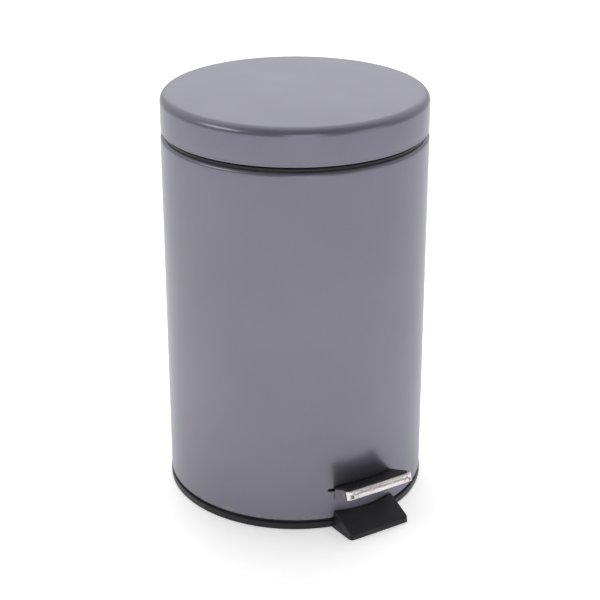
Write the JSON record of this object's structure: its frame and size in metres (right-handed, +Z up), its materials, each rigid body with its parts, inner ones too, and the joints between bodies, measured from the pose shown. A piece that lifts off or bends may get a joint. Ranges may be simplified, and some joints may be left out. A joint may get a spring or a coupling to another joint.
{
  "type": "pedal trash can",
  "caption": "Round steel pedal bin with a hinged lid that a front foot pedal opens through a lever and push rod, with a lift-out bucket inside.",
  "frame": {"origin": "on the floor, on the can's upright axis", "axes": "+Z up along the can's axis; the pedal faces -Y; +X is to the right of a person facing +Y, who looks at the pedal"},
  "size_m": [0.251, 0.2881, 0.395],
  "materials": {
    "grey_paint": "satin powder coat, violet grey",
    "black_plastic": "satin moulded polypropylene",
    "tread_pad": "pebbled anti-slip tread",
    "bumper_rubber": "soft black rubber",
    "bucket_plastic": "moulded plastic with a fine grain",
    "zinc_steel": "zinc-plated steel",
    "screw_steel": "zinc-plated steel",
    "chromed_steel": "bright chrome plate",
    "hinge_steel": "satin black coat"
  },
  "bodies": {
    "can": {"body_shell": "grey_paint", "base_ring": "black_plastic", "base_pan": "zinc_steel", "base_screws": "screw_steel", "anti_tip_foot": "black_plastic", "foot_screws": "screw_steel", "pivot_bracket": "zinc_steel", "bracket_rivets": "screw_steel", "pivot_pin": "screw_steel", "pin_washer": "screw_steel", "rod_guide": "black_plastic", "guide_rivets": "screw_steel", "rim_collar": "black_plastic", "hinge_bracket": "hinge_steel", "hinge_pin": "screw_steel", "hinge_rivets": "screw_steel"},
    "pedal": {"pedal_tray": "chromed_steel", "pedal_pad": "tread_pad", "lever_arm": "zinc_steel", "lever_rivets": "screw_steel"},
    "rod": {"push_rod": "zinc_steel", "rod_washers": "screw_steel"},
    "lid": {"lid_shell": "grey_paint", "lid_liner": "black_plastic", "lid_bumpers": "bumper_rubber", "hinge_leaf": "hinge_steel", "leaf_rivets": "screw_steel", "crank_bracket": "zinc_steel"},
    "bucket": {"bucket": "bucket_plastic"},
    "bail": {"bail_handle": "chromed_steel"}
  },
  "joints": [
    {"name": "lid_hinge", "type": "hinge", "parent": "can", "child": "lid", "pos_m": [0, 0.1305, 0.358], "axis": [-1, 0, 0], "range_deg": [0, 79.21]},
    {"name": "pedal_pivot", "type": "hinge", "parent": "can", "child": "pedal", "pos_m": [0, -0.062, 0.031], "axis": [1, 0, 0], "range_deg": [0, 8]},
    {"name": "rod_lift", "type": "slide", "parent": "can", "child": "rod", "axis": [0, 0, 1], "range_m": [0, 0.02482]},
    {"name": "bucket_lift", "type": "slide", "parent": "can", "child": "bucket", "axis": [0, 0, 1], "range_m": [0, 0.008]},
    {"name": "bail_swing", "type": "hinge", "parent": "bucket", "child": "bail", "pos_m": [0, 0, 0.3644], "axis": [-1, 0, 0], "range_deg": [0, 9]}
  ],
  "couplings": [
    {"joint": "pedal_pivot", "follows": "lid_hinge", "ratio": 0.101},
    {"joint": "rod_lift", "follows": "lid_hinge", "m_per_rad": 0.017956}
  ]
}
